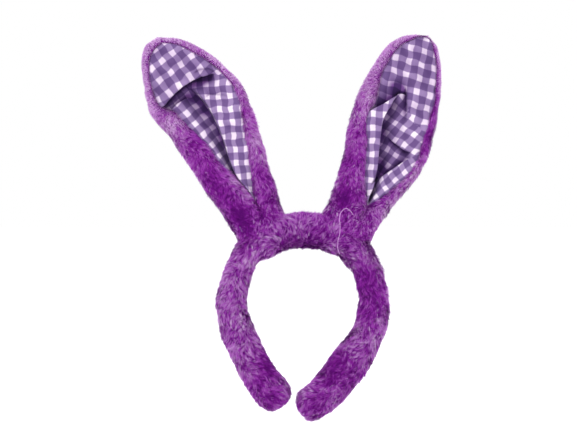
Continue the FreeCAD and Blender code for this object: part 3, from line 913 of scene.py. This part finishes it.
def lining_chart(side, u, v, across):
    """Which part of the cloth each face belongs to."""
    chart = np.full(u.shape, "tip", dtype="<U8")
    if side == "left":
        crease = np.array(CREASES["left"][0]["line"])
        below = v < np.interp(u, crease[:, 0], crease[:, 1])
        chart[below] = "near"
        chart[(across > 0) & below] = "far"
    else:
        ridge = np.array(CREASES["right"][0]["line"][:6] + [(8, 94), (16, 85), (30, 80)])
        below = v < np.interp(u, ridge[:, 0], ridge[:, 1])
        chart[below] = "far"
        chart[(across < 0) & below] = "near"
        cuff = np.array(CREASES["right"][3]["line"])
        chart[(across > 0) & (v < np.interp(u, cuff[:, 0], cuff[:, 1]))] = "cuff"
    return chart


def check_map(side, faces, across, cloth, extra):
    """For each corner of each face, its place in the repeats of the two sets of stripes. Below the big
    crease the cloth is laid out with what runs into the trough."""
    spread = {}
    for laid_out, run in ((True, cloth[..., 0] + extra), (False, cloth[..., 0])):
        spread[laid_out] = in_place(side, run, cloth[..., 1], np.zeros_like(run)).reshape(-1, 3)
    centre = [field.ravel()[faces].mean(1) for field in (cloth[..., 0], cloth[..., 1], across)]
    chart = lining_chart(side, *centre)
    corners = faces.ravel()
    places = np.zeros((len(corners), 2))
    drift = np.stack([waves(cloth, 13, 81), waves(cloth, 13, 82)], -1).reshape(-1, 2) * 0.5 * MM
    for name, (first, second, pitch_a, pitch_b, white_x, white_z) in CHARTS[side].items():
        a, b = math.radians(first), math.radians(second)
        x, _, z = (spread[name != "tip"] - np.array([white_x, 0, white_z]) * MM).T
        x, z = x + drift[:, 0], z + drift[:, 1]
        one = ((x * math.sin(a) - z * math.cos(a)) / (pitch_a * MM) + WHITE) * REPEAT
        two = ((z * math.cos(b) - x * math.sin(b)) / (pitch_b * MM) + WHITE) * REPEAT
        mine = np.repeat(chart == name, 4)
        places[mine] = np.stack([one, two], -1)[corners[mine]]
    return places


def make_lining(side):
    """The lining's cloth, with its checks and the shade of its folds."""
    u, v, w, across, cloth, extra, shade = lining_points(side)
    faces = grid_faces(*u.shape)
    folds = np.stack([shade.ravel()[faces.ravel()], np.full(faces.size, 0.5)], -1)
    thing = new_object(f"{side}_ear_gingham", in_place(side, u, v, w).reshape(-1, 3), faces, GINGHAM,
                       Cloth=check_map(side, faces, across, cloth, extra), Fold=folds)
    if np.mean([face.normal.y for face in thing.data.polygons]) > 0:
        thing.data.flip_normals()
    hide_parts(f"{side}_ear_lower_gingham_lining", f"{side}_ear_upper_gingham_lining")
    blend_tip(thing, side)


def blend_tip(thing, side):
    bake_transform(thing)


def blend_foot(thing, side):
    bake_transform(thing)


def clear_of_band(points):
    """Only what stands outside the band's own skin."""
    away = np.hypot(np.hypot(points[:, 0], points[:, 2] - BAND_CENTRE[2]) - BAND_RADIUS, points[:, 1])
    return away > CROWN_SKIN - 1 * MM


def ear_tone(side, points, v):
    """Painted highlight: the pile paler up the ear's upper part, most on its front and rims, which face the
    light from above, and paler along the outline low down; deeper colour lower down.
    """
    column = np.abs(np.linspace(-1, 1, points.shape[1]))
    front = 0.25 + 0.75 * ease(column, 0.3, 0.55)
    tone = BASE_TONE + {"left": 0.33, "right": 0.28}[side] * ease(v, 60, 118) * front
    tone = tone + 0.10 * bump(column, 0.58, 0.09) * (1 - ease(v, 60, 100))
    return shaded(points, tone)


def ear_surface(side):
    """What an ear's plush is made from: its points, how the pile lies (down the ear, and outward over the
    rim of its upper part), its length, tone and calm, and which way is outward."""
    points, v = ear_skin(side)
    along = np.gradient(points, axis=0)
    outward = points - in_place(side, v * 0, v, v * 0)
    column = np.abs(np.linspace(-1, 1, points.shape[1]))
    front = ease(column, 0.25, 0.5)
    calm = 0.15 + 0.2 * ease(v, 10, 140) + (0.15 * ease(v, 8, 30) + 0.35 * ease(v, 70, 112)) * front
    rim = (ease(v, 88, 118) * ease(column, 0.35, 0.5))[..., None]
    middle = in_place(side, np.array(0.0), np.array(112.0), np.array(0.0))
    lie = unit(-along) * (1 - rim) + unit(points - middle) * rim
    length = (EAR_PILE - 0.8 * ease(v, 20, 150) - 1.6 * ease(v, 78, 118) * front) * MM
    length = length * (0.7 + 0.3 * ease(v, -5, 12))
    return points, lie, length, ear_tone(side, points, v), calm, outward


def make_ear(side):
    """An ear: backing and pile of its lower and its upper part, and its lining."""
    fields = ear_surface(side)
    rows = len(fields[0])
    split = int(rows * LOWER_SHARE)
    parts = {
        "lower": (slice(0, split + 1), clear_of_band, blend_foot),
        "upper": (slice(split, rows), None, blend_tip),
    }
    pieces = []
    for number, (part, (span, keep, blend)) in enumerate(parts.items()):
        surface = Plush(*(field[span] for field in fields))
        backing = skin(f"{side}_ear_{part}_backing", surface.points)
        hair = pile(f"{side}_ear_{part}_pile", surface, EAR_SPACING, 200 + 10 * SIDES[side] + number, keep)
        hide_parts(f"{side}_ear_{part}_plush_back", f"{side}_ear_{part}_wadding")
        pieces += [(backing, blend), (hair, blend)]
    for piece, blend in pieces:
        blend(piece, side)
    make_lining(side)


for side in SIDES:
    make_ear(side)


# ---- seams and what lies inside

STITCH_SHAPE = 0.22 * MM * np.array([0.35, 1, 1.1, 1, 0.35])     # its radius, from end to end
STITCH_SIDES = 6


def round_path(path, other, thick, sides):
    """Rings of points round a path, this thick at each of its points; other is a direction that the path
    doesn't run in."""
    heading = unit(np.gradient(path, axis=0))
    aside = unit(np.cross(heading, other))
    ring = rings(aside, np.cross(heading, aside), sides)
    return (path[:, None] + ring * thick[:, None, None]).reshape(-1, 3)


def stitches(name, lines, long, gap):
    """Short raised stitches along lines of points: thin six-sided tubes."""
    vertices, faces, first = [], [], 0
    for line in lines:
        steps = distance_along(line)
        for start in np.arange(gap, steps[-1] - long, long + gap):
            at = start + np.linspace(0, long, len(STITCH_SHAPE))
            path = np.stack([np.interp(at, steps, line[:, k]) for k in range(3)], -1)
            vertices.append(round_path(path, UP + FRONT * 0.3, STITCH_SHAPE, STITCH_SIDES))
            faces.append(grid_faces(len(STITCH_SHAPE), STITCH_SIDES, True, first))
            first += len(vertices[-1])
    thing = new_object(name, np.concatenate(vertices), np.concatenate(faces), THREAD)
    return thing


def make_seams(side):
    """The band's closing seam on the head side, and the seam round a lining."""
    points, ring, _, along = band_surface(side)
    inner = points[:, AROUND // 2] + ring[:, AROUND // 2] * 0.3 * MM
    crown_part = along < BAND_RADIUS * math.radians(SHOULDER)
    seam = stitches(f"{side}_band_seam", [inner[crown_part], inner[~crown_part]], 2.6 * MM, 1.1 * MM)
    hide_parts("crown_seam_thread", f"{side}_arm_seam_thread", f"{side}_end_gather_thread")
    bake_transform(seam)
    u, v, w, *_ = lining_points(side)
    edges = []
    for column in (1, -2):
        edges.append(in_place(side, u[:, column], v[:, column], w[:, column] + 0.4))
    edge = stitches(f"{side}_ear_edge_seam", edges, 1.9 * MM, 0.9 * MM)
    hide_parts(f"{side}_ear_lower_edge_seam_thread", f"{side}_ear_upper_edge_seam_thread")
    blend_tip(edge, side)


def tube(name, path, radius, material, sides=8):
    """A round tube along a path, closed at both ends."""
    thick = np.full(len(path), radius)
    thick[[0, -1]] *= 0.05
    points = round_path(path, FRONT, thick, sides)
    return new_object(name, points, grid_faces(len(path), sides, True), material)


def make_wire(side):
    """The wire that shapes an ear, inside its plush, all round it."""
    outline = ear_outline(side, 110)
    outline = outline[outline[:, 1] > -6]
    line = inset(outline, pile_reach(outline[:, 1:]) + WIRE_DEPTH)
    path = in_place(side, line[:, 0], line[:, 1], np.full(len(line), -0.3))
    wire = tube(f"{side}_ear_wire", path, 0.6 * MM, WIRE)
    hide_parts(f"{side}_ear_lower_shaping_wire", f"{side}_ear_upper_shaping_wire")
    blend_tip(wire, side)


def make_stray_fibre():
    """A long pale fibre of the pile that has worked loose in front of the right ear's foot."""
    points = np.array([(40, -14.5, 26), (37, -16, 30), (33.5, -17, 31.5), (30, -17.2, 28.5),
                       (28.8, -17, 24), (29.2, -16.8, 18), (29, -16.5, 12), (27.6, -16.3, 6),
                       (27.4, -16, 0), (29, -15.4, -5)])
    fibre = tube("stray_fibre", curve_through(points, 60) * MM, 0.17 * MM, STRAY, 6)
    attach(fibre, "crown")


# What the CAD's own pieces are made of: the first of these words that is in a piece's name.
INSIDE = {"strip": STRIP, "wire": WIRE, "wadding": WADDING, "thread": THREAD, "stitches": THREAD,
          "plush": BACKING, "gingham": GINGHAM}

for side in SIDES:
    make_seams(side)
    make_wire(side)
make_stray_fibre()

for node_name, thing in frame["nodes"].items():
    material = next(m for word, m in INSIDE.items() if word in node_name)
    for place in thing.material_slots:
        place.material = material


# ---- the stage

LIGHTS = {       # place, aim, size and power
    "key": ((-0.5, -1.0, 1.1), (0, 0, 0.02), 0.6, 9),
    "fill": ((1.0, -1.0, 0.3), (0, 0, 0.02), 1.0, 2),
    "back": ((0.2, 1.0, 0.9), (0, 0, 0.05), 0.8, 6),
}
VIEW_DISTANCE = 1.6
VIEW_WIDTH = 0.4616          # what the picture's width covers at the headband
VIEW_CENTRE = (-0.0116, 0.0252)
SENSOR = 36                  # the camera's width of picture, in its own millimetres
FLOOR = cad_bounds[0][2] - 14 * MM       # the height it lies at, some way below the arms' ends
FLOOR_REACH = 30.0


def area_light(name, place, aim, size, energy):
    light = bpy.data.lights.new(name, "AREA")
    light.shape = "DISK"
    light.size = size
    light.energy = energy
    thing = bpy.data.objects.new(name, light)
    bpy.context.scene.collection.objects.link(thing)
    thing.location = place
    thing.rotation_euler = (Vector(aim) - Vector(place)).to_track_quat("-Z", "Y").to_euler()


def make_camera(scene):
    lens = bpy.data.cameras.new("camera")
    lens.lens = SENSOR * VIEW_DISTANCE / VIEW_WIDTH
    lens.sensor_width = SENSOR
    camera = bpy.data.objects.new("camera", lens)
    scene.collection.objects.link(camera)
    camera.location = (VIEW_CENTRE[0], -VIEW_DISTANCE, VIEW_CENTRE[1])
    camera.rotation_euler = (math.radians(90), 0, 0)
    scene.camera = camera


def make_floor():
    pale, _, shader = new_material("pale_floor", 0.9, specular=0.0)
    shader["Base Color"].default_value = grey(0.9)
    shader["Emission Color"].default_value = grey(1.0)
    shader["Emission Strength"].default_value = 0.25
    corners = [(x * FLOOR_REACH, y * FLOOR_REACH, FLOOR) for x, y in ((-1, -1), (1, -1), (1, 1), (-1, 1))]
    new_object("floor", corners, [[0, 1, 2, 3]], pale)


def make_stage():
    """The pale room, its lights, the camera and the floor."""
    scene = bpy.context.scene
    scene.view_settings.view_transform = "Standard"
    world = bpy.data.worlds.new("pale_room")
    world.use_nodes = True
    background = world.node_tree.nodes["Background"].inputs
    background["Color"].default_value = grey(1.0)
    background["Strength"].default_value = 1.0
    scene.world = world
    for name, light in LIGHTS.items():
        area_light(name, *light)
    make_camera(scene)
    make_floor()


make_stage()
